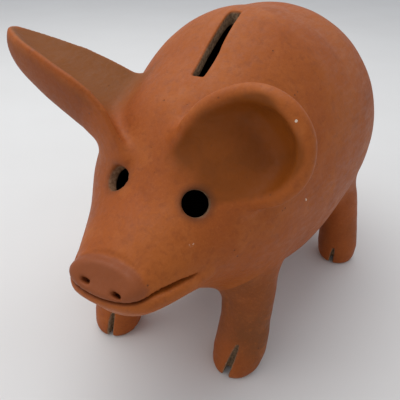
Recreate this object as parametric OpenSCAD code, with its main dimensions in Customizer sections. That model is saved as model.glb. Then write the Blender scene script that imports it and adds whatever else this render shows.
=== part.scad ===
// Hand-built terracotta pig coin bank.
// Snout points to -Y, the pig's left side is +X, +Z is up and the soles stand on z = 0.

/* [Trunk] */
// Largest width of the trunk
trunk_w = 110; // [96:1:122]
// Height of the back above the ground
trunk_top = 135; // [126:1:144]
// Clearance under the belly
belly_z = 14; // [8:1:20]
// Thickness of the clay wall
wall_t = 5.5; // [4:0.5:7]

/* [Coin slot] */
// Length of the coin slot along the back
slot_len = 36; // [30:1:40]
// Width of the coin slot
slot_w = 5.2; // [4.8:0.2:7]

/* [Face] */
// Diameter of the pierced eyes
eye_d = 9; // [6:0.5:10]
// Diameter of the nostril pricks
nostril_d = 2.6; // [1.5:0.1:3.5]
// Depth of the nostril pricks
nostril_depth = 4; // [2:0.5:5]
// Width of the snout disc
snout_w = 25.5; // [23:0.5:28]
// Height of the knife cut between snout and lower jaw
mouth_gap = 1.2; // [0.8:0.1:2]

/* [Ears] */
// Length of the left ear from its root
left_ear_len = 33; // [30:1:38]
// Length of the right ear from its root
right_ear_len = 52; // [46:1:54]
// Thickness of the ear clay
ear_t = 6; // [4.5:0.5:7]

/* [Legs] */
// Radius of a front hoof
front_hoof_r = 11.5; // [10:0.5:12.5]
// Radius of a rear hoof
rear_hoof_r = 10.6; // [9.5:0.1:12]
// Width of the slit that splits each hoof
hoof_slit_w = 1.8; // [1:0.1:2.5]

/* [Hidden] */

clay = [0.62, 0.35, 0.21];
clay_dark = [0.5, 0.27, 0.15];
clay_red = [0.55, 0.3, 0.2];
clay_leg = [0.52, 0.32, 0.18];

// The skin is one egg drawn out into a muzzle. Each station holds y, back z, belly z and half width.
stations = [
    [-95.5, 80, 63.5, 0.235 * trunk_w / 2],
    [-90, 83.5, 57.5, 0.313 * trunk_w / 2],
    [-72, 92, 51, 0.475 * trunk_w / 2],
    [-52, 111.5, 36, 0.69 * trunk_w / 2],
    [-30, 122.5, 24.5, 0.81 * trunk_w / 2],
    [-2, trunk_top, belly_z, 0.93 * trunk_w / 2],
    [36, trunk_top - 1.5, belly_z + 4.5, trunk_w / 2]
];
last = len(stations) - 1;
muzzle_y = stations[0][0];
hip_y = stations[last][0];
rump_y = 99.5;
muzzle_lean = 26;
lean_end_y = -60;
neck_y = -46;
seam_y = 12;
cavity_front_y = -76;
ring_sides = 48;
cavity_sides = 36;

// A smooth curve through the stations: column c at y, flat at the hips.
function slope(i, c) =
    i == last ? 0 :
    i == 0 ? (stations[1][c] - stations[0][c]) / (stations[1][0] - stations[0][0]) :
    (stations[i + 1][c] - stations[i - 1][c]) / (stations[i + 1][0] - stations[i - 1][0]);
function segment(y) = min(last - 1, max(0, len([for (s = stations) if (s[0] <= y) 1]) - 1));
function hermite(a, b, ma, mb, t) =
    a * (2 * t * t * t - 3 * t * t + 1) + b * (3 * t * t - 2 * t * t * t)
    + ma * (t * t * t - 2 * t * t + t) + mb * (t * t * t - t * t);
function curve(y, c) =
    let (i = segment(y), span = stations[i + 1][0] - stations[i][0])
    hermite(stations[i][c], stations[i + 1][c], slope(i, c) * span, slope(i + 1, c) * span,
            (y - stations[i][0]) / span);

// Half height, half width and centre height of the skin at y, drawn in by inset.
function rump_scale(y, inset) = y <= hip_y ? 1 : sqrt(max(0, 1 - pow((y - hip_y) / (rump_y - inset - hip_y), 2)));
function mid_z(y) = (curve(min(y, hip_y), 1) + curve(min(y, hip_y), 2)) / 2;
function half_h(y, inset) =
    ((curve(min(y, hip_y), 1) - curve(min(y, hip_y), 2)) / 2 - inset) * rump_scale(y, inset);
function half_w(y, inset) = (curve(min(y, hip_y), 3) - inset) * rump_scale(y, inset);
function lean(y) = muzzle_lean * pow(max(0, (lean_end_y - y) / (lean_end_y - muzzle_y)), 1.5);
function ring(y, sides, inset) = [
    for (k = [0:sides - 1])
        let (a = 360 * k / sides, dz = half_h(y, inset) * sin(a))
        [half_w(y, inset) * cos(a), y + dz * tan(lean(y)), mid_z(y) + dz]
];

// The right ear reaches further out than anything on the left, so the middle plane stands left of centre.
middle_x = 5.85;
middle_y = -0.95;
module place() {
    translate([middle_x, middle_y, 0]) children();
}

// Stations from one y to another, closer together where the rump turns in.
function steps(from, to, count) = [for (i = [0:count]) from + (to - from) * i / count];
function rump_steps(inset, count) = [
    for (i = [1:count]) hip_y + (rump_y - inset - hip_y) * sin(88 * i / count)
];

// A closed solid through a list of rings with the same number of points.
function tube_faces(count, sides) = [
    for (i = [0:count - 2], k = [0:sides - 1])
        let (a = i * sides + k, b = i * sides + (k + 1) % sides)
        each [[a, b, b + sides], [a, b + sides, a + sides]]
];
module loft(rings) {
    sides = len(rings[0]);
    count = len(rings);
    polyhedron([for (r = rings) each r],
               concat([[for (k = [sides - 1:-1:0]) k]], tube_faces(count, sides),
                      [[for (k = [0:sides - 1]) (count - 1) * sides + k]]));
}

// The solid egg inside the skin between two cuts.
module skin(from, to, count) {
    loft([for (y = steps(from, to, count)) ring(y, ring_sides, 0)]);
}

module cavity(from, to, count) {
    loft([for (y = steps(from, to, count)) ring(y, cavity_sides, wall_t)]);
}

module rump() {
    loft([for (y = concat(steps(seam_y, hip_y, 4), rump_steps(0, 9))) ring(y, ring_sides, 0)]);
}

module rear_bowl() {
    place() color(clay) difference() {
        rump();
        loft([for (y = concat([seam_y - 1], steps(seam_y, hip_y, 3), rump_steps(wall_t, 7)))
              ring(y, cavity_sides, wall_t)]);
    }
}

slot_pos = [-0.6, -19.5, 125];
slot_turn = 2;
slot_reach = 50;
module slot_cut() {
    translate(slot_pos)
        rotate([0, 0, slot_turn])
            cube([slot_w, slot_len, slot_reach], center = true);
}

module front_bowl() {
    place() color(clay) difference() {
        skin(neck_y, seam_y, 8);
        cavity(neck_y - 0.5, seam_y + 0.5, 8);
        slot_cut();
    }
}

// The mouth splits the muzzle along a level plane that ends at the mouth corners.
mouth_corner_y = -78;
mouth_z = 69.5;
mouth_depth = 5;
zone = 40;
module jaw_zone(drop) {
    translate([-zone, mouth_corner_y - zone, mouth_z - drop - zone])
        cube([2 * zone, zone, zone]);
}

// The eyes are pierced straight in, the right one a little higher than the left.
eye_left_pos = [16.3, -69.5, 89.4];
eye_right_pos = [-15.2, -69.5, 90.8];
eye_swing = 38;
eye_tip = 32;
eye_reach = 44;
module eye_cut(pos, swing) {
    translate(pos)
        rotate([0, 0, swing])
            rotate([90 - eye_tip, 0, 0])
                cylinder(h = eye_reach, d = eye_d, center = true, $fn = 48);
}

module head_shell() {
    place() color(clay) difference() {
        skin(muzzle_y, neck_y, 12);
        cavity(cavity_front_y, neck_y + 0.5, 7);
        jaw_zone(0);
        eye_cut(eye_left_pos, eye_swing);
        eye_cut(eye_right_pos, -eye_swing);
    }
}

module lower_jaw() {
    place() color(clay) difference() {
        union() {
            intersection() {
                skin(muzzle_y, neck_y, 12);
                jaw_zone(0);
            }
            lip();
        }
        difference() {
            jaw_zone(-1);
            jaw_zone(mouth_gap);
            jaw_core();
        }
    }
}

// What joins jaw and snout behind the knife cut.
core_h = 40;
core_front_y = -89;
core_back_y = -75;
module jaw_core() {
    core_w = 2 * half_w(mouth_corner_y, mouth_depth);
    translate([-core_w / 2, core_front_y, mouth_z - core_h / 2])
        cube([core_w, core_back_y - core_front_y, core_h]);
}

// The lower lip is a roll of clay round the front of the jaw: x, y and radius along half of it.
lip_z = 67.4;
lip_half = [[0, -99.4, 2.2], [5, -99.1, 2.2], [9.5, -97.8, 2.2], [13, -94.8, 2.2], [15.4, -90.5, 2.2],
            [18.6, -85, 2], [21.4, -80, 1.4]];
lip_path = concat([for (i = [len(lip_half) - 1:-1:1]) [-lip_half[i][0], lip_half[i][1], lip_half[i][2]]], lip_half);
lip_sides = 14;
function lip_step(i) =
    let (a = lip_path[max(0, i - 1)], b = lip_path[min(len(lip_path) - 1, i + 1)]) unit([b[0] - a[0], b[1] - a[1], 0]);
module lip() {
    loft([
        for (i = [0:len(lip_path) - 1])
            let (p = lip_path[i], out = cross(lip_step(i), [0, 0, 1]))
            [for (k = [0:lip_sides - 1])
                let (a = 360 * k / lip_sides)
                [p[0], p[1], lip_z] + p[2] * (cos(a) * out + [0, 0, sin(a)])]
    ]);
}

// A cushion-shaped oval: rings along its own Z that round off at the front.
disc_pos = [-0.2, -97.1, 73.4];
disc_lean = 36;
disc_t = 2.6;
disc_back = 4.5;
disc_h = 11;
nostrils = [[-5.4, -1.9], [6.2, -2.7]];
nostril_reach = 10;
module snout_disc() {
    place() color(clay_red) difference() {
        translate(disc_pos)
            rotate([90 - disc_lean, 0, 0])
                loft([
                    for (a = concat([-6], [for (k = [0:8]) 82 * k / 8]))
                        let (grow = a < 0 ? 1 : 0.72 + 0.28 * cos(a), z = a < 0 ? -disc_back : disc_t * sin(a))
                        oval(snout_w / 2 * grow, disc_h / 2 * grow, z, ring_sides)
                ]);
        skin(muzzle_y, neck_y, 12);
        jaw_zone(0);
        for (n = nostrils)
            translate(disc_pos)
                rotate([90 - disc_lean, 0, 0])
                    translate([n[0], n[1], disc_t - nostril_depth])
                        cylinder(h = nostril_reach, d = nostril_d, $fn = 32);
    }
}
function oval(rx, ry, z, sides) = [for (k = [0:sides - 1]) [rx * cos(360 * k / sides), ry * sin(360 * k / sides), z]];

// An ear is a dished leaf. Its root lies on the head, its hollow side faces along normal.
ear_root_w = 0.75;
ear_sections = 18;
ear_points = 12;
function unit(v) = v / norm(v);
function leaf(s, widest) =
    s < widest ? ear_root_w + (1 - ear_root_w) * sin(90 * s / widest)
    : sqrt(max(0.0004, 1 - pow((s - widest) / (1 - widest), 2)));
function dish(t, w, depth) = [w * t, -depth * (1 - t * t)];
function ear_section(w, depth, thick) = concat(
    [for (k = [0:ear_points]) dish(2 * k / ear_points - 1, w, depth)],
    [for (k = [1:ear_points - 1])
        let (t = 1 - 2 * k / ear_points, p = dish(t, w, depth))
        [p[0], p[1] - thick * sqrt(1 - t * t)]]
);
module leaf_loft(rings) {
    sides = len(rings[0]);
    count = len(rings);
    polyhedron([for (r = rings) each r],
               concat(crescent(0, true), tube_faces(count, sides), crescent((count - 1) * sides, false)));
}

// The two ends of an ear are crescents, closed with strips from the hollow side to the back.
function crescent(first, flip) =
    let (m = ear_points, turn = function (f) flip ? [f[2], f[1], f[0]] : f)
    [
        turn([first, first + 2 * m - 1, first + 1]),
        turn([first + m, first + m - 1, first + m + 1]),
        for (k = [1:m - 2])
            each [turn([first + k, first + 2 * m - k, first + 2 * m - k - 1]),
                  turn([first + k, first + 2 * m - k - 1, first + k + 1])]
    ];
module ear(root, along, normal, len, width, depth, widest, skew, thick, rise) {
    a = unit(along);
    n = unit(normal - (normal * a) * a);
    u = cross(a, n);
    leaf_loft([
        for (k = [0:ear_sections])
            let (s = 1 - pow(1 - k / ear_sections, 1.6), w = width / 2 * leaf(s, widest), lift = rise * (1 - 1.2 * s))
            [for (p = ear_section(w, depth * (1 - pow(s, 2.2)), thick * min(1, w / 6)))
                root + a * len * s + u * (p[0] + skew * pow(1 - s, 1.5)) + n * (p[1] + lift * (1 + p[0] / w) / 2)]
    ]);
}

module left_ear() {
    place() color(clay_dark) difference() {
        ear([21, -60.5, 97.5], [0.66, -0.02, 0.7], [-0.12, -0.95, 0.15], left_ear_len, 40, 9, 0.35, -2, ear_t, 0);
        skin(-80, -20, 9);
    }
}

module right_ear() {
    place() color(clay_dark) difference() {
        ear([-25, -46, 108], [-0.865, -0.03, 0.46], [0.46, 0.36, 0.8], right_ear_len, 37, 7, 0.1, 1,
            1.4 * ear_t, 7);
        skin(-80, -5, 9);
    }
}

// A leg is a stack of rounds from the hoof up into the belly: height and radius as a share of the hoof.
leg_rounds = [[0, 0.88], [2, 1], [8, 1], [15, 0.96], [24, 0.92], [32, 0.96], [42, 1.02], [62, 1.08]];
leg_sides = 32;
leg_top = 62;
ankle_z = 24;
slit_depth = 7;
slit_h = 15;
slit_margin = 5;

// A leg's middle line is the parabola through foot, ankle and top.
function leg_line(foot, ankle, top, z) =
    foot * (z - ankle_z) * (z - leg_top) / (ankle_z * leg_top)
    + ankle * z * (leg_top - z) / (ankle_z * (leg_top - ankle_z))
    + top * z * (z - ankle_z) / (leg_top * (leg_top - ankle_z));
module leg(foot, ankle, top, hoof_r) {
    difference() {
        loft([
            for (r = leg_rounds)
                let (at = leg_line(foot, ankle, top, r[0]))
                [for (k = [0:leg_sides - 1])
                    [at[0] + hoof_r * r[1] * cos(360 * k / leg_sides),
                     at[1] + hoof_r * r[1] * sin(360 * k / leg_sides), r[0]]]
        ]);
        translate([foot[0] - hoof_slit_w / 2, foot[1] - hoof_r - slit_margin, -1])
            cube([hoof_slit_w, slit_depth + slit_margin, slit_h + 1]);
        skin(-88, 80, 22);
    }
}

front_left_foot = [27, -52];
front_right_foot = [-32, -56];
front_left_ankle = [28.6, -45.5];
front_right_ankle = [-31, -50];
front_top = [23.5, -42];
rear_foot = [50.8, 43.5];
rear_ankle = [48, 45.5];
rear_top = [36, 40];
function mirrored(p) = [-p[0], p[1]];
module front_left_leg() {
    place() color(clay_leg) leg(front_left_foot, front_left_ankle, front_top, front_hoof_r);
}
module front_right_leg() {
    place() color(clay_leg) leg(front_right_foot, front_right_ankle, mirrored(front_top), front_hoof_r);
}
module rear_left_leg() {
    place() color(clay_leg) leg(rear_foot, rear_ankle, rear_top, rear_hoof_r);
}
module rear_right_leg() {
    place() color(clay_leg) leg(mirrored(rear_foot), mirrored(rear_ankle), mirrored(rear_top), rear_hoof_r);
}

// The tail is a short rope of clay curled flat against the rump.
tail_z = 90;
tail_rim = (tail_z - mid_z(hip_y)) / half_h(hip_y, 0);
tail_y = hip_y + (rump_y - hip_y) * sqrt(1 - tail_rim * tail_rim);
tail_rise = atan2(tail_rim / half_h(hip_y, 0), (tail_y - hip_y) / pow(rump_y - hip_y, 2));
tail_curl_r = 6.5;
tail_rope_r = 3;
tail_stand = 1.6;
tail_turn = 290;
tail_from = 130;
module tail() {
    place() color(clay) difference() {
        translate([0, tail_y, tail_z])
            rotate([tail_rise - 90, 0, 0])
                translate([0, 0, tail_stand])
                    rotate([0, 0, tail_from])
                        rotate_extrude(angle = tail_turn, $fn = 48)
                            translate([tail_curl_r, 0])
                                circle(r = tail_rope_r, $fn = 24);
        rump();
    }
}

rear_bowl();
front_bowl();
head_shell();
snout_disc();
lower_jaw();
left_ear();
right_ear();
front_left_leg();
front_right_leg();
rear_left_leg();
rear_right_leg();
tail();
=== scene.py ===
from math import radians, sin, cos, tan, pi

import bpy
import numpy as np
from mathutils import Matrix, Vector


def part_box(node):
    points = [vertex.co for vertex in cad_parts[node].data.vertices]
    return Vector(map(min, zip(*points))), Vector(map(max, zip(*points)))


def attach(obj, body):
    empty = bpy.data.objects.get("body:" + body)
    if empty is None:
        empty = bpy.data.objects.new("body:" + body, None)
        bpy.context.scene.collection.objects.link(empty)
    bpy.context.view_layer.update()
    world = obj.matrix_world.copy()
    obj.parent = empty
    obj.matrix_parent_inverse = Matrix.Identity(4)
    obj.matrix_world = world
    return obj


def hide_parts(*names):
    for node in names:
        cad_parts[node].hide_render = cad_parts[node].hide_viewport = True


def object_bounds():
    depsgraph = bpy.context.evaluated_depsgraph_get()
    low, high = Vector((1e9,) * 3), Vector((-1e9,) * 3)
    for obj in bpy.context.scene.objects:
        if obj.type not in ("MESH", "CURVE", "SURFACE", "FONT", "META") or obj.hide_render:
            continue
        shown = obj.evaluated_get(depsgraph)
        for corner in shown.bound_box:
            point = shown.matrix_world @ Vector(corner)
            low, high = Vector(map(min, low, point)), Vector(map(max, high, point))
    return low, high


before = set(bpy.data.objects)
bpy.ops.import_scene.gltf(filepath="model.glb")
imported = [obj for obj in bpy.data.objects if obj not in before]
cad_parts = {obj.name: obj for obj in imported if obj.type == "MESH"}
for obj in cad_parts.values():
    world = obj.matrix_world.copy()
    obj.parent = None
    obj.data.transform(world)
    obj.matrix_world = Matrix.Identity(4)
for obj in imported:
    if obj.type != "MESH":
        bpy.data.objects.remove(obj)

import openvdb
from mathutils import Matrix, Vector

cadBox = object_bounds()

# Clay is worked in millimetres: x = 0 is the pig's middle plane, y = 12 the seam between the bowls.
millimetre = 0.001
seamY = 12.0
rearLow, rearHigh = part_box("rear_bowl")
benchShift = np.array([(rearLow[0] + rearHigh[0]) / 2, rearLow[1] - seamY * millimetre, 0.0])


def toFrame(points):
    return np.asarray(points) * millimetre + benchShift


def toBench(points):
    return (np.asarray(points) - benchShift) / millimetre


# The clay block: a grid of distances, negative inside the clay.
block = {
    "voxel": 0.7,
    "margin": 5,
    "band": 9.0,
    "reach": 11,  # how far round a lump its own window goes
    "normalStep": 0.75,  # of a voxel, either way
}
voxel = block["voxel"]
lowCorner = np.floor(toBench(cadBox[0]) / voxel).astype(int) - block["margin"]
highCorner = np.ceil(toBench(cadBox[1]) / voxel).astype(int) + block["margin"]
blockShape = highCorner - lowCorner + 1
axes = [(lowCorner[a] + np.arange(blockShape[a])) * voxel for a in range(3)]


def window(low, high):
    # the part of the block between two corners, as three slices
    first = np.clip(np.floor(np.array(low) / voxel).astype(int) - lowCorner, 0, blockShape)
    past = np.clip(np.ceil(np.array(high) / voxel).astype(int) - lowCorner + 1, 0, blockShape)
    return tuple(slice(a, b) for a, b in zip(first, past))


wholeBlock = tuple(slice(0, n) for n in blockShape)


def gridPoints(part):
    # x, y and z of a window, shaped to broadcast
    x, y, z = (axes[a][part[a]].astype(np.float32) for a in range(3))
    return x[:, None, None], y[None, :, None], z[None, None, :]


def loft(rings, strips=False):
    # closed skin through rings of equal length, ends fanned or, on a crescent, joined in strips
    rings = np.asarray(rings, dtype=np.float64)
    count, sides = rings.shape[:2]
    ids = np.arange(count * sides).reshape(count, sides)
    after = np.roll(ids, -1, axis=1)
    quads = [np.stack([ids[:-1], after[:-1], after[1:], ids[1:]], -1).reshape(-1, 4)]
    points = rings.reshape(-1, 3)
    if strips:
        half = sides // 2
        k = np.arange(half)
        for row in (ids[0], ids[-1]):
            quads.append(np.stack([row[k], row[k + 1], row[(sides - k - 1) % sides],
                                   row[(sides - k) % sides]], -1))
        fans = np.zeros((0, 3), int)
    else:
        ends = np.array([rings[0].mean(0), rings[-1].mean(0)])
        points = np.concatenate([points, ends])
        size = count * sides
        fans = np.concatenate([
            np.stack([ids[0], after[0], np.full(sides, size)], -1),
            np.stack([ids[-1], after[-1], np.full(sides, size + 1)], -1)])
    return points, np.concatenate(quads), fans


def distanceTo(skin, part):
    # signed distance from a closed skin, in a window of the block
    points, quads, fans = skin
    grid = openvdb.FloatGrid.createLevelSetFromPolygons(
        points.astype(np.float32), triangles=fans.astype(np.uint32), quads=quads.astype(np.uint32),
        transform=openvdb.createLinearTransform(voxel),
        exBandWidth=block["band"] / voxel, inBandWidth=block["band"] / voxel)
    values = np.zeros([s.stop - s.start for s in part], dtype=np.float32)
    grid.copyToArray(values, ijk=tuple(int(lowCorner[a] + part[a].start) for a in range(3)))
    return values


def smear(a, b, k):
    # joins two lumps with a thumbed fillet about k wide
    h = np.clip(0.5 + 0.5 * (b - a) / k, 0, 1)
    return b + (a - b) * h - k * h * (1 - h)


def carve(a, tool, k):
    # takes the tool out of the clay and rounds the edge by about k
    return -smear(-a, tool, k)


def ramp(values, low, high):
    t = np.clip((values - low) / (high - low), 0, 1)
    return t * t * (3 - 2 * t)


# Trunk and head: one egg drawn out into a muzzle.
egg = {
    "stations": [  # y, back z, belly z, half width
        (-95.5, 80, 63.5, 12.9), (-90, 83.5, 57.5, 17.2), (-72, 92, 51, 26.1), (-52, 111.5, 36, 37.95),
        (-30, 122.5, 24.5, 44.55), (-2, 135, 14, 51.15), (36, 133.5, 18.5, 55)],
    "rumpEnd": 99.5,
    "muzzleLean": 26.0,
    "leanFrom": -60.0,
    "wall": 5.5,
    "hollowFrom": -76.0,
    "sides": 128,
}
stations = np.array(egg["stations"], dtype=float)
muzzleY, hipY = stations[0, 0], stations[-1, 0]
slopes = np.zeros_like(stations)
slopes[1:-1] = (stations[2:] - stations[:-2]) / (stations[2:, :1] - stations[:-2, :1])
slopes[0] = (stations[1] - stations[0]) / (stations[1, 0] - stations[0, 0])


def eggCurve(y, column):
    i = int(np.clip(np.searchsorted(stations[:, 0], y, "right") - 1, 0, len(stations) - 2))
    span = stations[i + 1, 0] - stations[i, 0]
    t = (y - stations[i, 0]) / span
    return (stations[i, column] * (2 * t**3 - 3 * t**2 + 1) + stations[i + 1, column] * (3 * t**2 - 2 * t**3)
            + slopes[i, column] * span * (t**3 - 2 * t**2 + t) + slopes[i + 1, column] * span * (t**3 - t**2))


def eggRing(y, inset=0.0):
    held = min(y, hipY)
    back, belly, width = (eggCurve(held, c) for c in (1, 2, 3))
    end = egg["rumpEnd"] - inset
    turn = 1.0 if y <= hipY else np.sqrt(max(0.0, 1 - ((y - hipY) / (end - hipY)) ** 2))
    a = np.linspace(0, 2 * pi, egg["sides"], endpoint=False)
    dz = ((back - belly) / 2 - inset) * turn * np.sin(a)
    lean = egg["muzzleLean"] * (max(0.0, egg["leanFrom"] - y) / (egg["leanFrom"] - muzzleY)) ** 1.5
    return np.stack([(width - inset) * turn * np.cos(a), y + dz * tan(radians(lean)),
                     (back + belly) / 2 + dz], -1)


def eggSkin(start, inset):
    end = egg["rumpEnd"] - inset
    front = np.linspace(start, hipY, int((hipY - start) / 1.5))
    rump = hipY + (end - hipY) * np.sin(np.linspace(0, pi / 2 * 0.995, 60))[1:]
    return loft([eggRing(y, inset) for y in np.concatenate([front, rump])])


skinField = distanceTo(eggSkin(muzzleY, 0.0), wholeBlock)
hollowField = distanceTo(eggSkin(egg["hollowFrom"], egg["wall"]), wholeBlock)
print("egg and hollow laid out", blockShape)

# Ears: dished leaves, thinly rolled out and then given a rounded rim.
leftEar = {
    "name": "leftEar", "node": "left_ear",
    "root": (21, -60.5, 97.5), "along": (0.66, -0.02, 0.7), "facing": (-0.12, -0.95, 0.15),
    "length": 32.5, "width": 40, "dish": 10, "widest": 0.35, "skew": -3.0, "rootWidth": 0.85,
    "rim": 2.8, "core": 0.8, "blend": 6.5, "wallPower": 3.2, "endPower": 4.0,
    "rootAt": -0.15, "flush": 0.3, "fade": (0.93, 0.66), "from": (-0.75, 0.1), "tip": (0.96, 0.76),
    "back": (2.0, 0.5),
    "lifts": [(-0.15, 4.5, 0), (0.05, 6, 0), (0.3, 4, 0), (0.65, 0, 0)],  # along, at either edge
}
rightEar = {
    "name": "rightEar", "node": "right_ear",
    "root": (-25, -46, 108), "along": (-0.865, -0.03, 0.46), "facing": (0.46, 0.36, 0.8),
    "length": 52, "width": 37, "dish": 8.8, "widest": 0.1, "skew": 1.0, "rootWidth": 1.0,
    "rim": 1.2, "core": 9.6, "blend": 5.0, "wallPower": 2.0, "endPower": 2.2,
    "rootAt": -0.3, "flush": 1.0, "fade": (1.0, 0.88), "from": (-0.1, 0.2), "tip": (1.0, 0.93),
    "back": (1.7, 0.85),
    "lifts": [(-0.3, -10, 9.5), (0, -1.5, 8.8), (0.15, 0.4, 7.8), (0.3, 0.4, 6.8), (0.6, -0.6, 4.4),
              (0.8, -1.6, 1.4), (1, -1.8, -1.6)],
}


def earAxes(ear):
    along = np.array(ear["along"], float)
    along /= np.linalg.norm(along)
    facing = np.array(ear["facing"], float)
    facing -= facing @ along * along
    facing /= np.linalg.norm(facing)
    return along, facing, np.cross(along, facing)


def earLift(ear, s, t):
    # how far the dished side stands out from the ear's plane: edges lifted, floor pressed in
    at, early, late = np.array(ear["lifts"]).T
    edges = np.interp(s, at, early) * (1 - t) / 2 + np.interp(s, at, late) * (1 + t) / 2
    depth = ear["dish"] * (ear["flush"] + (1 - ear["flush"]) * ramp(s, 0.0, 0.5))
    return edges - depth * (1 - np.clip(s, 0, 1) ** ear["endPower"]) * (1 - np.abs(t) ** ear["wallPower"])


def earHalfWidth(ear, s):
    early = ear["rootWidth"] + (1 - ear["rootWidth"]) * np.sin(pi / 2 * np.clip(s / ear["widest"], -0.5, 1))
    over = np.clip((s - ear["widest"]) / (1 - ear["widest"]), 0, 1)
    return np.where(s < ear["widest"], early, np.sqrt(np.maximum(0.0004, 1 - over**2)))


def earSkin(ear):
    along, facing, across = earAxes(ear)
    sections, points = 56, 24
    front = np.linspace(-1, 1, points + 1)
    back = np.linspace(1, -1, points + 1)[1:-1]
    t = np.concatenate([front, back])
    rise, bend = ear["back"]
    body = np.concatenate([np.zeros(len(front)), ear["core"] * (1 - np.abs(back)**rise)**bend + 0.2])
    half = ear["width"] / 2 - ear["rim"]
    rings = []
    for k in range(sections + 1):
        s = 1 - (1 - ear["rootAt"]) * (1 - k / sections) ** 1.6
        width = half * float(earHalfWidth(ear, s))
        lift = earLift(ear, s, t) - body * (width / half) ** 0.5 - ear["rim"]
        middle = np.array(ear["root"]) + along * (ear["length"] - ear["rim"]) * s
        rings.append(middle + np.outer(width * t + ear["skew"] * (1 - s) ** 1.5, across)
                     + np.outer(lift, facing))
    return loft(rings, strips=True)


# Legs: stacked rounds of a coil, from the foot over the ankle into the belly.
legRounds = [(0, 0.8), (3, 0.93), (9, 1.0), (16, 0.97), (24, 0.94), (32, 0.97), (42, 1.02), (62, 1.08)]
legTop, ankleZ = 62.0, 24.0
legs = [
    {"name": "frontLeftLeg", "node": "front_left_leg", "foot": (26.8, -52.0), "ankle": (28.1, -45.5),
     "top": (22.5, -40), "hoof": 11.3, "slit": 0.3, "slant": 0.2, "cleft": 18},
    {"name": "frontRightLeg", "node": "front_right_leg", "foot": (-32.2, -56.5), "ankle": (-31, -50),
     "top": (-23, -43), "hoof": 11.4, "slit": 2.4, "slant": 0.1, "cleft": 15},
    {"name": "rearLeftLeg", "node": "rear_left_leg", "foot": (49.4, 44.2), "ankle": (47, 46),
     "top": (36, 40), "hoof": 10.5, "slit": -0.6, "slant": 0.03, "cleft": 11},
    {"name": "rearRightLeg", "node": "rear_right_leg", "foot": (-50, 43.8), "ankle": (-47.5, 45),
     "top": (-36, 40), "hoof": 10.5, "slit": 0.5, "slant": 0.0, "cleft": 11},
]
legBlend = 6.5


def legSkin(leg):
    foot, ankle, top = (np.array(leg[k], float) for k in ("foot", "ankle", "top"))
    heights = np.array([r[0] for r in legRounds], float)
    shares = np.array([r[1] for r in legRounds], float)
    a = np.linspace(0, 2 * pi, 48, endpoint=False)
    rings = []
    for z in np.linspace(-3, legTop, 60):
        radius = leg["hoof"] * np.interp(z, heights, shares)
        share = (0, ankleZ, legTop)
        at = (foot * (z - share[1]) * (z - share[2]) / (share[1] * share[2])
              + ankle * z * (z - share[2]) / (share[1] * (share[1] - share[2]))
              + top * z * (z - share[1]) / (share[2] * (share[2] - share[1])))
        rings.append(np.stack([at[0] + radius * np.cos(a), at[1] + radius * np.sin(a),
                               np.full(len(a), z)], -1))
    return loft(rings)


# Snout: a cushion of red slip clay pressed onto the muzzle, wider at its lower edge.
snout = {"at": (-0.2, -97.1, 73.4), "lean": 36.0, "thick": 2.4, "height": 10.6, "width": 25.6,
         "flare": 0.08, "blend": 3.6}


def snoutAxes():
    up = np.array([0, sin(radians(snout["lean"])), cos(radians(snout["lean"]))])
    out = np.array([0, -cos(radians(snout["lean"])), sin(radians(snout["lean"]))])
    return np.array([1.0, 0, 0]), up, out


def snoutSkin():
    side, up, out = snoutAxes()
    a = np.linspace(0, 2 * pi, 72, endpoint=False)
    rings = []
    for lift in np.concatenate([[-1.0], np.linspace(0, 0.93, 14)]):
        grow = 1.0 if lift < 0 else 0.72 + 0.28 * cos(lift * pi / 2)
        high = snout["thick"] * (lift if lift < 0 else sin(lift * pi / 2))
        x = snout["width"] / 2 * grow * np.sign(np.cos(a)) * np.abs(np.cos(a)) ** 0.9
        y = snout["height"] / 2 * grow * np.sin(a)
        x = x * (1 - snout["flare"] * np.sin(a))
        rings.append(np.array(snout["at"]) + np.outer(x, side) + np.outer(y, up)
                     + np.full((len(a), 1), high) * out)
    return loft(rings)


# Lower lip: a roll of clay round the front of the jaw.
lip = {
    "height": 67.6,
    "route": [(0, -99.6), (6, -99.2), (10.5, -98.1), (13.6, -95.6), (15.4, -92), (17.6, -88), (20.2, -83),
              (22.6, -78.5), (24.4, -74)],
    "radii": [2.3, 2.3, 2.3, 2.3, 2.4, 2.4, 2.2, 1.7, 0.9],
    "narrow": 0.94,  # the right side of the lip, against the left
    "blend": 2.5,
}


def rollSkin(path, radii, sides=20):
    # a roll of clay along a path
    path, radii = np.asarray(path, float), np.asarray(radii, float)
    steps = np.gradient(path, axis=0)
    steps /= np.linalg.norm(steps, axis=1)[:, None]
    side = np.cross(steps, [0, 0, 1.0])
    side /= np.linalg.norm(side, axis=1)[:, None]
    over = np.cross(side, steps)
    a = np.linspace(0, 2 * pi, sides, endpoint=False)
    return loft([p + r * (np.outer(np.cos(a), s) + np.outer(np.sin(a), o))
                 for p, r, s, o in zip(path, radii, side, over)])


def lipSkin():
    right = np.array(lip["route"], float)
    whole = np.concatenate([right[:0:-1] * (-lip["narrow"], 1), right])
    radii = np.array(lip["radii"][:0:-1] + lip["radii"])
    where = np.arange(len(whole))
    fine = np.linspace(0, len(whole) - 1, 90)
    x, y = (np.interp(fine, where, whole[:, c]) for c in (0, 1))
    for _ in range(4):  # eases the corners of the route
        x[1:-1] = (x[:-2] + x[2:] + 2 * x[1:-1]) / 4
        y[1:-1] = (y[:-2] + y[2:] + 2 * y[1:-1]) / 4
    return rollSkin(np.stack([x, y, np.full(len(x), lip["height"])], -1), np.interp(fine, where, radii))


# Tail: a short rope of clay curled flat on the rump.
tail = {"z": 90.0, "curl": 6.5, "rope": 3.0, "stand": 1.6, "from": 130.0, "turn": 290.0, "blend": 2.5}


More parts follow.
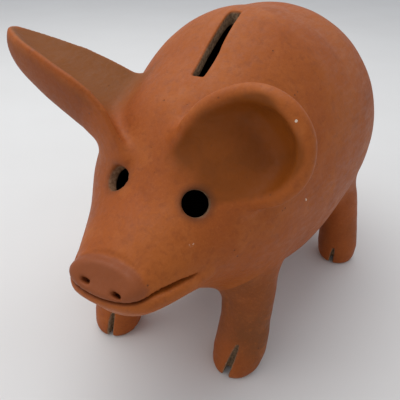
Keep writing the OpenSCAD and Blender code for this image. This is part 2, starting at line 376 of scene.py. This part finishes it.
def tailSkin():
    mid = (stations[-1, 1] + stations[-1, 2]) / 2
    half = (stations[-1, 1] - stations[-1, 2]) / 2
    rim = (tail["z"] - mid) / half
    y = hipY + (egg["rumpEnd"] - hipY) * (1 - rim**2) ** 0.5
    rise = np.arctan2(rim / half, (y - hipY) / (egg["rumpEnd"] - hipY) ** 2)
    out = np.array([0, cos(rise), sin(rise)])
    up = np.array([0, -sin(rise), cos(rise)])
    count = 60
    a = np.radians(tail["from"] + np.linspace(0, tail["turn"], count))
    centre = np.array([0, y, tail["z"]]) + out * tail["stand"]
    path = centre + tail["curl"] * (np.outer(np.cos(a), [1, 0, 0]) - np.outer(np.sin(a), up))
    k = np.arange(count)
    fade = np.clip(np.minimum(k, k[::-1]) / 5, 0, 1) ** 0.5
    steps = np.gradient(path, axis=0)
    steps /= np.linalg.norm(steps, axis=1)[:, None]
    side = np.cross(steps, out)
    b = np.linspace(0, 2 * pi, 24, endpoint=False)
    radii = tail["rope"] * (0.35 + 0.65 * fade)
    return loft([p + r * (np.outer(np.cos(b), s) + np.outer(np.sin(b), out))
                 for p, r, s in zip(path, radii, side)])


# Every added lump: its skin, the box it lies in, and how widely it is smeared on.
def lump(name, node, skin, blend):
    points = skin[0]
    part = window(points.min(0) - block["reach"], points.max(0) + block["reach"])
    return {"name": name, "node": node, "part": part, "field": distanceTo(skin, part), "blend": blend}


lumps = []
for ear in (leftEar, rightEar):
    made = lump(ear["name"], ear["node"], earSkin(ear), ear["blend"])
    made["field"] = made["field"] - ear["rim"]
    lumps.append(made)
for leg in legs:
    lumps.append(lump(leg["name"], leg["node"], legSkin(leg), legBlend))
lumps.append(lump("curlyTail", "tail", tailSkin(), tail["blend"]))
snoutLump = lump("snoutDisc", "snout_disc", snoutSkin(), snout["blend"])
lipLump = lump("lip", "lower_jaw", lipSkin(), lip["blend"])
print("ears, legs, snout, lip and tail laid out")


def addLump(field, one):
    field[one["part"]] = smear(field[one["part"]], one["field"], one["blend"])


bodyField = skinField.copy()  # trunk, head and lip, without what is luted on
addLump(bodyField, lipLump)
clayField = bodyField.copy()
for one in lumps + [snoutLump]:
    addLump(clayField, one)


# Hand-built unevenness: smooth random swells, the same every run.
def swell(part, length, seed):
    rng = np.random.default_rng(seed)
    counts = [int(np.ceil((part[a].stop - part[a].start) * voxel / length)) + 4 for a in range(3)]
    values = rng.standard_normal(counts).astype(np.float32)
    for a in range(3):
        at = np.arange(part[a].stop - part[a].start) * voxel / length + 1
        i = np.floor(at).astype(int)
        t = (at - i).astype(np.float32)
        weights = np.zeros((len(at), counts[a]), np.float32)
        rows = np.arange(len(at))
        weights[rows, i - 1] = (1 - t) ** 3 / 6
        weights[rows, i] = (3 * t**3 - 6 * t**2 + 4) / 6
        weights[rows, i + 1] = (-3 * t**3 + 3 * t**2 + 3 * t + 1) / 6
        weights[rows, i + 2] = t**3 / 6
        values = np.moveaxis(np.tensordot(weights, values, axes=(1, a)), 0, a)
    return values


unevenness = {  # size, height, seed
    "broad": (24.0, 0.45, 11), "thumbed": (9.0, 0.24, 12), "fine": (3.6, 0.09, 13),
}
relief = sum(height * swell(wholeBlock, size, seed) for size, height, seed in unevenness.values())
clayField += relief
print("surface thumbed uneven")

# Hollow inside, then what is cut through the wall.
clayField = np.maximum(clayField, -hollowField)

coinSlot = {
    "at": (-0.6, -19.5), "turn": 2.0, "length": 36.0, "width": 5.2, "from": 95.0,
    "window": ((-14, -46, 85), (14, 6, 142)),
    "ragged": ((5.0, 0.35, 31), (2.2, 0.2, 32)),  # size, height, seed
}
eyes = {
    "left": {"at": (16.3, -69.5, 89.4), "swing": 38.0, "tip": 32.0, "width": 9.0, "soot": 1.0},
    "right": {"at": (-15.2, -69.5, 90.8), "swing": -38.0, "tip": 32.0, "width": 9.0, "soot": 0.6},
}
eyeReach = 18
nostrils = {"places": [(-5.4, -2.2), (6.2, -3.1)], "width": 1.7, "long": 2.0, "slant": 8.0, "depth": 4.5,
            "reach": 8}
mouth = {
    "height": 70.4, "sag": 1.3, "sagHalf": 14, "sagFrom": -90, "corner": -77.5, "depth": 3.4,
    "window": ((-34, -108, 60), (34, -70, 80)),
    "gaps": [(-106, 0.9), (-98, 0.9), (-94, 1.0), (-88, 1.4), (-82, 1.0), (-79, 0.3), (-77, -0.8)],
}
hoofSlit = {"width": 3.4, "depth": 4.0, "tall": 18, "slantFrom": 6}
# how soft the edge of each kind of cut is
rounded = {"slot": 0.7, "eye": 0.8, "nostril": 0.7, "mouth": 0.6, "hoof": 0.8, "sole": 1.2}

cuts = []  # fields of the cut faces, for colouring the raw clay


def cutOut(kind, part, tool):
    clayField[part] = carve(clayField[part], tool, rounded[kind])
    cuts.append((kind, part, tool))


def slotTool():
    part = window(*coinSlot["window"])
    x, y, z = gridPoints(part)
    turn = radians(coinSlot["turn"])
    u = (x - coinSlot["at"][0]) * cos(turn) + (y - coinSlot["at"][1]) * sin(turn)
    v = -(x - coinSlot["at"][0]) * sin(turn) + (y - coinSlot["at"][1]) * cos(turn)
    ragged = sum(height * swell(part, size, seed) for size, height, seed in coinSlot["ragged"])
    half = coinSlot["width"] / 2 - 0.5 * (v / coinSlot["length"] * 2) ** 4
    sides = np.abs(u) - half + 0.7 * ragged
    ends = np.abs(v) - coinSlot["length"] / 2 + 0.5 * ragged
    return part, np.maximum(np.maximum(sides, ends), coinSlot["from"] - z)


cutOut("slot", *slotTool())


def eyeAxis(eye):
    swing, tip = radians(eye["swing"]), radians(eye["tip"])
    return np.array([sin(swing) * cos(tip), -cos(swing) * cos(tip), sin(tip)])


def eyeTool(eye):
    at = np.array(eye["at"])
    part = window(at - eyeReach - 2, at + eyeReach + 2)
    x, y, z = gridPoints(part)
    out = eyeAxis(eye)
    d = [x - at[0], y - at[1], z - at[2]]
    along = d[0] * out[0] + d[1] * out[1] + d[2] * out[2]
    across = np.sqrt(np.maximum(d[0]**2 + d[1]**2 + d[2]**2 - along**2, 0))
    return part, np.maximum(across - eye["width"] / 2, np.abs(along) - eyeReach)


for eye in eyes.values():
    cutOut("eye", *eyeTool(eye))


def nostrilTool(place):
    across, up, out = snoutAxes()
    at = np.array(snout["at"]) + across * place[0] + up * place[1] + out * snout["thick"]
    part = window(at - nostrils["reach"], at + nostrils["reach"])
    x, y, z = gridPoints(part)
    slant = radians(nostrils["slant"])
    long = across * cos(slant) - up * sin(slant)
    short = np.cross(out, long)
    d = [x - at[0], y - at[1], z - at[2]]
    u, v, w = (d[0] * n[0] + d[1] * n[1] + d[2] * n[2] for n in (long, short, out))
    taper = np.clip(1 + w / (nostrils["depth"] + 1), 0.2, 1.2)
    oval = np.sqrt(np.maximum(np.abs(u) - nostrils["long"] / 2, 0)**2 + v**2)
    return part, np.maximum(oval - nostrils["width"] / 2 * taper, -w - nostrils["depth"])


for place in nostrils["places"]:
    cutOut("nostril", *nostrilTool(place))


def mouthTool():
    part = window(*mouth["window"])
    x, y, z = gridPoints(part)
    ys, gaps = np.array(mouth["gaps"]).T
    gap = np.interp(y.ravel(), ys, gaps).astype(np.float32).reshape(y.shape)
    sag = mouth["sag"] * np.clip(1 - (x / mouth["sagHalf"]) ** 2, 0, 1) * (y < mouth["sagFrom"])
    middle = mouth["height"] + 0.35 * gap - sag
    return part, np.maximum(np.abs(z - middle) - gap / 2, -bodyField[part] - mouth["depth"])


cutOut("mouth", *mouthTool())


def hoofTool(leg, own):
    footX, footY = leg["foot"]
    part = own["part"]
    x, y, z = gridPoints(part)
    share = np.clip(z / leg["cleft"], -0.2, 1.2)
    wide = 0.5 * hoofSlit["width"] * (leg["cleft"] / hoofSlit["tall"]) ** 0.7
    half = wide * np.clip(1 - share, 0, 1) ** 0.6 * (0.7 + 0.6 * share) - 0.6 * (share > 1)
    slant = leg["slit"] + (z - hoofSlit["slantFrom"]) * leg["slant"]
    deep = -own["field"] - hoofSlit["depth"] * (1.2 - 0.6 * share)
    return part, np.maximum(np.maximum(np.abs(x - footX - slant) - half, deep), y - footY)


for leg, own in zip(legs, lumps[2:6]):
    cutOut("hoof", *hoofTool(leg, own))

# Soles stand flat on the bench.
clayField = carve(clayField, gridPoints(wholeBlock)[2], rounded["sole"])
print("slot, eyes, nostrils, mouth and hooves cut")


def meshFrom(field, part, name):
    # the skin where a field is zero, as a mesh in the frame's metres
    edge = np.pad(field, 1, constant_values=float(block["band"]))
    start = tuple(int(lowCorner[a] + part[a].start - 1) for a in range(3))
    grid = openvdb.FloatGrid(float(block["band"]))
    grid.copyFromArray(np.ascontiguousarray(edge, dtype=np.float32), ijk=start)
    grid.transform = openvdb.createLinearTransform(voxel)
    points, quads = grid.convertToQuads(0.0)
    mesh = bpy.data.meshes.new(name)
    mesh.vertices.add(len(points))
    mesh.vertices.foreach_set("co", toFrame(points).astype(np.float32).ravel())
    mesh.loops.add(quads.size)
    mesh.loops.foreach_set("vertex_index", quads.astype(np.int32).ravel())
    mesh.polygons.add(len(quads))
    mesh.polygons.foreach_set("loop_start", np.arange(0, quads.size, 4, dtype=np.int32))
    mesh.update(calc_edges=True)
    return mesh


def thing(name, mesh):
    obj = bpy.data.objects.new(name, mesh)
    bpy.context.scene.collection.objects.link(obj)
    return obj


wholePig = thing("wholePig", meshFrom(clayField, wholeBlock, "wholePig"))
print("whole pig", len(wholePig.data.vertices), "points")


def boxMesh(low, high, name):
    (a, b, c), (d, e, f) = toFrame(low), toFrame(high)
    points = [(a, b, c), (d, b, c), (d, e, c), (a, e, c), (a, b, f), (d, b, f), (d, e, f), (a, e, f)]
    faces = [(0, 3, 2, 1), (4, 5, 6, 7), (0, 1, 5, 4), (1, 2, 6, 5), (2, 3, 7, 6), (3, 0, 4, 7)]
    mesh = bpy.data.meshes.new(name)
    mesh.from_pydata(points, [], faces)
    return mesh


def cutWith(obj, cutter, operation):
    # returns what the boolean leaves, as a new mesh
    modifier = obj.modifiers.new("cut", "BOOLEAN")
    modifier.solver = "MANIFOLD"
    modifier.operation = operation
    modifier.object = cutter
    graph = bpy.context.evaluated_depsgraph_get()
    mesh = bpy.data.meshes.new_from_object(obj.evaluated_get(graph))
    obj.modifiers.remove(modifier)
    return mesh


def takeOff(name, cutterMesh):
    # cuts one piece off the pig and leaves the rest
    cutter = thing("cutter", cutterMesh)
    piece = thing(name, cutWith(wholePig, cutter, "INTERSECT"))
    wholePig.data = cutWith(wholePig, cutter, "DIFFERENCE")
    bpy.data.objects.remove(cutter)
    print("  ", name, len(piece.data.polygons), "faces;", len(wholePig.data.polygons), "left")
    return piece


lute = {"out": 4.5, "deep": 2.8}  # how far a joint reaches out over the fillet and into the wall


def luteRegion(one):
    # what lies nearer to the lump than to the body, and no deeper than half the wall
    field, body = one["field"], bodyField[one["part"]]
    return np.maximum(np.maximum(field - body, field - lute["out"]), -lute["deep"] - body)


pieces = {}
for one in lumps + [snoutLump]:
    pieces[one["node"]] = takeOff(one["name"], meshFrom(luteRegion(one), one["part"], "cutter"))
far, below, above = 120.0, -10.0, 150.0  # well outside the pig
neckY = -46.0
jawHalf, jawLow = 40.0, 40.0
jawCorner = (jawHalf, mouth["corner"] - 0.5, mouth["height"] + 0.2)
boxes = [
    ("lower_jaw", "lowerJaw", (-jawHalf, -far, jawLow), jawCorner),
    ("head_shell", "headShell", (-far, -far, below), (far, neckY, above)),
    ("front_bowl", "frontBowl", (-far, neckY - 1, below), (far, seamY, above)),
]
for node, name, low, high in boxes:
    pieces[node] = takeOff(name, boxMesh(low, high, "cutter"))
wholePig.name = "rearBowl"
pieces["rear_bowl"] = wholePig
print("pieces parted")


# The finished skin: normals read from the clay block, so that no joint shows between pieces.
def readField(field, part, points):
    # a field at points in the bench's millimetres, smoothly between the grid's
    at = points / voxel - lowCorner - [s.start for s in part]
    at = np.clip(at, 0, np.array(field.shape) - 1.001)
    i = np.floor(at).astype(int)
    t = (at - i).astype(np.float32)
    out = np.zeros(len(points), np.float32)
    for corner in range(8):
        step = np.array([corner & 1, corner >> 1 & 1, corner >> 2 & 1])
        weight = np.prod(np.where(step, t, 1 - t), axis=1)
        j = i + step
        out += weight * field[j[:, 0], j[:, 1], j[:, 2]]
    return out


def meshPoints(mesh):
    points = np.empty(len(mesh.vertices) * 3, np.float32)
    mesh.vertices.foreach_get("co", points)
    return toBench(points.reshape(-1, 3).astype(np.float64))


def skinNormals(points):
    steps = voxel * block["normalStep"] * np.eye(3)
    slope = [readField(clayField, wholeBlock, points + step) - readField(clayField, wholeBlock, points - step)
             for step in steps]
    normals = np.stack(slope, -1)
    return normals / (np.linalg.norm(normals, axis=1)[:, None] + 1e-9)


jointTurn = 0.55  # faces that turn further from the skin than this lie in a joint


def smoothSkin(mesh, points):
    normals = skinNormals(points)
    faces = np.empty(len(mesh.polygons) * 3, np.float32)
    mesh.polygons.foreach_get("normal", faces)
    sizes = np.empty(len(mesh.polygons), np.int32)
    mesh.polygons.foreach_get("loop_total", sizes)
    corners = np.empty(len(mesh.loops), np.int32)
    mesh.loops.foreach_get("vertex_index", corners)
    flat = np.repeat(faces.reshape(-1, 3), sizes, axis=0)
    own = normals[corners]
    inJoint = (own * flat).sum(1) < jointTurn  # these keep their own
    own[inJoint] = flat[inJoint]
    mesh.shade_smooth()
    mesh.normals_split_custom_set(own)


def earShares(points, ear):
    # how far points lie in the dished side of an ear and on its back, from 0 to 1
    along, facing, across = earAxes(ear)
    d = points - np.array(ear["root"])
    s = d @ along / ear["length"]
    u = d @ across - ear["skew"] * np.clip(1 - s, 0, 1.2) ** 1.5
    t = u / (ear["width"] / 2 * earHalfWidth(ear, s))
    lift = d @ facing - earLift(ear, s, np.clip(t, -1, 1))
    inside = ramp(np.abs(t), *ear["fade"]) * ramp(s, *ear["from"]) * ramp(s, *ear["tip"])
    inside = inside * ramp(lift, -ear["rim"] - 3.0, -ear["rim"] - 0.5) * ramp(lift, 20, 4)
    return inside, ramp(lift, -1.5, -4.0) * ramp(s, 0, 0.2)


# Where each finish is gone and where it is full, in millimetres.
fades = {
    "slip": (2.6, 0.2), "chamberShade": (0.8, 0.3), "sole": (1.2, 0.2), "soot": (7.5, 4.3),
    "hoof": (0.45, 0.1), "cutEdge": (0.9, 0.35), "cutDepth": (-0.1, -0.8),
}
eyeRaw, sootDepth = 0.65, -12


def cutShare(kind, part, tool, points):
    # how fully points lie on the raw clay of a cut
    away = readField(tool, part, points)
    if kind == "hoof":
        return ramp(away, *fades["hoof"])
    depth = ramp(readField(bodyField, wholeBlock, points), *fades["cutDepth"])
    return ramp(np.abs(away), *fades["cutEdge"]) * depth * (eyeRaw if kind == "eye" else 1.0)


def rawClay(points):
    raw = np.zeros(len(points), np.float32)
    for kind, part, tool in cuts:
        low = np.array([axes[a][part[a].start] for a in range(3)])
        high = np.array([axes[a][part[a].stop - 1] for a in range(3)])
        near = np.all((points > low) & (points < high), axis=1)
        if kind not in ("nostril", "mouth") and near.any():
            raw[near] = np.maximum(raw[near], cutShare(kind, part, tool, points[near]))
    return raw


def eyeSoot(points):
    soot = np.zeros(len(points))
    for eye in eyes.values():
        out = eyeAxis(eye)
        d = points - np.array(eye["at"])
        across = np.linalg.norm(d - np.outer(d @ out, out), axis=1)
        soot = np.maximum(soot, eye["soot"] * ramp(across, *fades["soot"]) * (d @ out > sootDepth))
    return soot


def paintMasks(mesh, points):
    # where the finishes lie: how far each holds, from 0 to 1
    inRight, shadedUnderRight = earShares(points, rightEar)
    masks = {
        "hollow": earShares(points, leftEar)[0],
        "hollowRight": inRight,
        # the right ear's back, where shade is painted into the colour
        "under": shadedUnderRight if mesh == pieces["right_ear"].data else np.zeros(len(points)),
        "slip": ramp(readField(snoutLump["field"], snoutLump["part"], points), *fades["slip"]),
        # the walls inside the hollow, where shade is painted in near black
        "chamberShade": ramp(readField(hollowField, wholeBlock, points), *fades["chamberShade"]),
        "raw": rawClay(points),
        "soot": eyeSoot(points),
        "sole": ramp(points[:, 2], *fades["sole"]),
    }
    for name, values in masks.items():
        mesh.attributes.new(name, "FLOAT", "POINT").data.foreach_set("value", values.astype(np.float32))


for node, piece in pieces.items():
    points = meshPoints(piece.data)
    smoothSkin(piece.data, points)
    paintMasks(piece.data, points)
print("skins smoothed and masked")

# Finishes.
finish = {
    "clay": (0.345, 0.079, 0.0105), "clayLight": (0.45, 0.128, 0.026), "clayDark": (0.22, 0.048, 0.006),
    "hollow": (0.24, 0.056, 0.002), "hollowDark": (0.17, 0.042, 0.002), "dusty": (0.2, 0.072, 0.014),
    "undersideShade": (0.19, 0.05, 0.016), "slip": (0.25, 0.066, 0.02),
    "raw": (0.4, 0.27, 0.16), "rawDark": (0.17, 0.105, 0.06), "grime": (0.025, 0.018, 0.012),
    "chip": (0.7, 0.56, 0.44), "chamberShade": (0.05, 0.028, 0.018),
    "warm": (0.385, 0.099, 0.014), "brown": (0.2, 0.058, 0.012),
}
bodyChips = [((19.7, -78.2, 80.6), 0.0012), ((43.1, -33.7, 78.8), 0.0006)]  # place, radius in metres
earChips = [((42.4, -61.2, 119.4), 0.00055), ((-49.9, -52, 124.9), 0.0008)]


class Clay:
    # a small hand for building node trees
    def __init__(self, name):
        self.material = bpy.data.materials.new(name)
        self.material.use_nodes = True
        self.tree = self.material.node_tree
        self.tree.nodes.clear()
        self.at = self.node("ShaderNodeTexCoord").outputs["Object"]

    def node(self, kind, **settings):
        made = self.tree.nodes.new(kind)
        for key, value in settings.items():
            setattr(made, key, value)
        return made

    def link(self, source, socket):
        if isinstance(source, (int, float)):
            socket.default_value = source
        elif isinstance(source, tuple):
            socket.default_value = source if len(source) == len(socket.default_value) else (*source, 1.0)
        else:
            self.tree.links.new(source, socket)

    def mask(self, name):
        return self.node("ShaderNodeAttribute", attribute_name=name).outputs["Fac"]

    def stretched(self, scale):
        made = self.node("ShaderNodeVectorMath", operation="MULTIPLY")
        self.link(self.at, made.inputs[0])
        made.inputs[1].default_value = scale
        return made.outputs[0]

    def noise(self, scale, detail=3.0, rough=0.55, warp=0.0, at=None):
        made = self.node("ShaderNodeTexNoise")
        self.link(self.at if at is None else at, made.inputs["Vector"])
        sockets = {"Scale": scale, "Detail": detail, "Roughness": rough, "Distortion": warp}
        for socket, value in sockets.items():
            made.inputs[socket].default_value = value
        return made.outputs["Fac"]

    def spread(self, value, low, high, out=(0.0, 1.0)):
        made = self.node("ShaderNodeMapRange", interpolation_type="SMOOTHSTEP")
        self.link(value, made.inputs["Value"])
        for socket, number in zip(("From Min", "From Max", "To Min", "To Max"), (low, high, *out)):
            made.inputs[socket].default_value = number
        return made.outputs["Result"]

    def maths(self, operation, a, b=0.0):
        made = self.node("ShaderNodeMath", operation=operation)
        self.link(a, made.inputs[0])
        self.link(b, made.inputs[1])
        return made.outputs[0]

    def mix(self, share, under, over):
        made = self.node("ShaderNodeMix", data_type="RGBA")
        self.link(share, made.inputs[0])
        self.link(under, made.inputs[6])
        self.link(over, made.inputs[7])
        return made.outputs[2]


def terracotta(settings):
    # burnished, unglazed clay: settings hold what differs from piece to piece
    c = Clay(settings["name"])
    broad = c.noise(26, 4, 0.5)
    blotch = c.noise(95, 4, 0.6, 0.6)
    mottle = c.noise(420, 3, 0.6)
    streak = c.noise(60, 5, 0.65, 0.4, at=c.stretched((9.0, 1.6, 9.0)))
    burnish = c.noise(850, 3, 0.7, 1.2)
    grain = c.noise(2600, 2, 0.6)
    colour = c.mix(c.spread(broad, 0.35, 0.68), finish["clay"], settings["tint"])
    layers = [  # texture, where it starts and is full, how strong, its tone
        (blotch, 0.5, 0.75, 0.5, "clayLight"), (blotch, 0.45, 0.25, 0.4, "clayDark"),
        (streak, 0.55, 0.75, 0.35, "clayLight"), (mottle, 0.52, 0.28, 0.35, "clayDark"),
        (burnish, 0.5, 0.72, 0.3, "clayLight"), (burnish, 0.5, 0.3, 0.2, "clayDark"),
    ]
    for texture, low, high, strength, tone in layers:
        colour = c.mix(c.spread(texture, low, high, (0, strength)), colour, finish[tone])
    # darker in the ears, with painted shade on the right ear's back, red on the snout
    colour = c.mix(c.maths("MULTIPLY", c.mask("under"), 0.55), colour, finish["undersideShade"])
    hollowEdge = c.maths("ADD", c.mask("hollow"), c.spread(blotch, 0.3, 0.7, (-0.12, 0.12)))
    hollowTone = c.mix(c.spread(blotch, 0.4, 0.7, (0, 0.5)), finish["hollow"], finish["hollowDark"])
    colour = c.mix(c.spread(hollowEdge, 0.1, 0.9), colour, hollowTone)
    colour = c.mix(c.maths("MULTIPLY", c.mask("hollowRight"), 0.75), colour, finish["dusty"])
    slipEdge = c.maths("ADD", c.mask("slip"), c.spread(mottle, 0.3, 0.7, (-0.2, 0.2)))
    colour = c.mix(c.spread(slipEdge, 0.15, 0.95, (0, 0.85)), colour, finish["slip"])
    colour = c.mix(c.maths("MULTIPLY", c.mask("soot"), 0.5), colour, finish["grime"])
    # specks, pits and small chips in the burnish
    speck = c.node("ShaderNodeTexVoronoi", feature="F1")
    c.link(c.at, speck.inputs["Vector"])
    speck.inputs["Scale"].default_value = 330
    pitted = c.spread(c.noise(150), 0.56, 0.66)
    dark = c.maths("MULTIPLY", c.spread(speck.outputs["Distance"], 0.16, 0.06), pitted)
    colour = c.mix(c.maths("MULTIPLY", dark, 0.55), colour, finish["grime"])
    for place, size in settings["chips"]:
        away = c.node("ShaderNodeVectorMath", operation="DISTANCE")
        c.link(c.at, away.inputs[0])
        away.inputs[1].default_value = tuple(toFrame(place))
        ragged = c.maths("ADD", away.outputs["Value"], c.spread(mottle, 0.3, 0.7, (-0.0004, 0.0005)))
        colour = c.mix(c.spread(ragged, size, size * 0.75), colour, finish["chip"])
    # raw, dusty clay where it was cut, and painted shade, a near-black tone, on the walls inside the hollow
    rawTone = c.mix(c.spread(c.noise(700, 4, 0.7), 0.35, 0.65), finish["rawDark"], finish["raw"])
    colour = c.mix(c.mask("raw"), colour, rawTone)
    colour = c.mix(c.mask("chamberShade"), colour, finish["chamberShade"])
    colour = c.mix(c.maths("MULTIPLY", c.mask("sole"), 0.6), colour, finish["raw"])
    shader = c.node("ShaderNodeBsdfPrincipled")
    c.link(colour, shader.inputs["Base Color"])
    uneven = c.spread(mottle, 0.2, 0.8, (-0.05, 0.08))
    burnished = c.maths("ADD", c.spread(streak, 0.3, 0.75, settings["gloss"]), uneven)
    dull = c.maths("MULTIPLY", c.maths("MAXIMUM", c.mask("raw"), c.mask("chamberShade")), 0.9)
    c.link(c.maths("MAXIMUM", burnished, dull), shader.inputs["Roughness"])
    shader.inputs["Specular IOR Level"].default_value = 0.22
    # tooled facets, grain and pits
    height = c.maths("ADD", c.maths("MULTIPLY", streak, 0.5), c.maths("MULTIPLY", mottle, 0.35))
    height = c.maths("ADD", height, c.maths("MULTIPLY", grain, 0.12))
    height = c.maths("SUBTRACT", height, c.maths("MULTIPLY", dark, 0.8))
    bump = c.node("ShaderNodeBump")
    bump.inputs["Strength"].default_value = settings["bump"]
    bump.inputs["Distance"].default_value = 0.0005
    c.link(height, bump.inputs["Height"])
    c.link(bump.outputs["Normal"], shader.inputs["Normal"])
    c.link(shader.outputs["BSDF"], c.node("ShaderNodeOutputMaterial").inputs["Surface"])
    return c.material


warm, brown = finish["warm"], finish["brown"]
clays = {
    "body_clay": {"name": "bodyClay", "tint": warm, "gloss": (0.46, 0.66), "bump": 0.45, "chips": bodyChips},
    "ear_clay": {"name": "earClay", "tint": warm, "gloss": (0.5, 0.68), "bump": 0.45, "chips": earChips},
    "red_slip": {"name": "redSlip", "tint": warm, "gloss": (0.42, 0.6), "bump": 0.5, "chips": []},
    "leg_clay": {"name": "legClay", "tint": brown, "gloss": (0.45, 0.65), "bump": 0.55, "chips": []},
}
finishes = {slotName: terracotta(settings) for slotName, settings in clays.items()}
slotOf = {"snout_disc": "red_slip", "left_ear": "ear_clay", "right_ear": "ear_clay"}
slotOf.update({leg["node"]: "leg_clay" for leg in legs})
for node, piece in pieces.items():
    slotName = slotOf.get(node, "body_clay")
    piece.data.materials.clear()
    piece.data.materials.append(finishes[slotName])
    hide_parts(node)
    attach(piece, "root")
print("finishes on")

# Floor, light and camera.
view = {"azimuth": 26.48, "elevation": 31.99, "roll": 0.63, "distance": 0.20299, "lens": 40.5,
        "sensor": 36, "nearest": 0.005, "target": (-6.08, -22.0, 58.0)}
daylight = {
    "above": {"at": (-0.2, 0.1, 0.8), "size": 0.9, "power": 4.0},
    "side": {"at": (-0.6, -0.6, 0.6), "size": 0.7, "power": 1.2},
}
lampTarget = (0, 0, 0.06)
sky = {"colour": (0.9, 0.93, 1.0, 1), "strength": 0.56}
ground = {"half": 3, "light": (0.79, 0.785, 0.765), "dark": (0.74, 0.73, 0.705), "roughness": 0.75}


def makeFloor():
    mesh = bpy.data.meshes.new("floor")
    half = ground["half"]
    corners = [(-half, -half, 0), (half, -half, 0), (half, half, 0), (-half, half, 0)]
    mesh.from_pydata(corners, [], [(0, 1, 2, 3)])
    floor = thing("floor", mesh)
    c = Clay("paleFloor")
    shader = c.node("ShaderNodeBsdfPrincipled")
    c.link(c.mix(c.noise(9), ground["light"], ground["dark"]), shader.inputs["Base Color"])
    shader.inputs["Roughness"].default_value = ground["roughness"]
    c.link(shader.outputs["BSDF"], c.node("ShaderNodeOutputMaterial").inputs["Surface"])
    mesh.materials.append(c.material)


def makeLight(name, settings):
    lamp = bpy.data.lights.new(name, "AREA")
    lamp.shape = "DISK"
    lamp.size = settings["size"]
    lamp.energy = settings["power"]
    obj = bpy.data.objects.new(name, lamp)
    bpy.context.scene.collection.objects.link(obj)
    obj.location = settings["at"]
    aim = Vector(lampTarget) - Vector(settings["at"])
    obj.rotation_euler = aim.to_track_quat("-Z", "Y").to_euler()


def makeCamera():
    az, el, roll = (radians(view[k]) for k in ("azimuth", "elevation", "roll"))
    back = Vector((sin(az) * cos(el), -cos(az) * cos(el), sin(el)))
    level = Vector((cos(az), sin(az), 0))
    right = level * cos(roll) + level.cross(-back) * sin(roll)
    up = back.cross(right)
    target = Vector(toFrame(view["target"]))
    camera = bpy.data.cameras.new("camera")
    camera.lens = view["lens"]
    camera.sensor_width = view["sensor"]
    camera.clip_start = view["nearest"]
    obj = bpy.data.objects.new("camera", camera)
    bpy.context.scene.collection.objects.link(obj)
    turn = Matrix((right, up, back)).transposed().to_4x4()
    obj.matrix_world = Matrix.Translation(target + back * view["distance"]) @ turn
    bpy.context.scene.camera = obj


makeFloor()
for name, settings in daylight.items():
    makeLight(name, settings)
world = bpy.data.worlds.new("world")
world.use_nodes = True
background = world.node_tree.nodes["Background"]
background.inputs["Color"].default_value = sky["colour"]
background.inputs["Strength"].default_value = sky["strength"]
bpy.context.scene.world = world
bpy.context.scene.view_settings.view_transform = "Standard"
makeCamera()
print("floor, light and camera set")
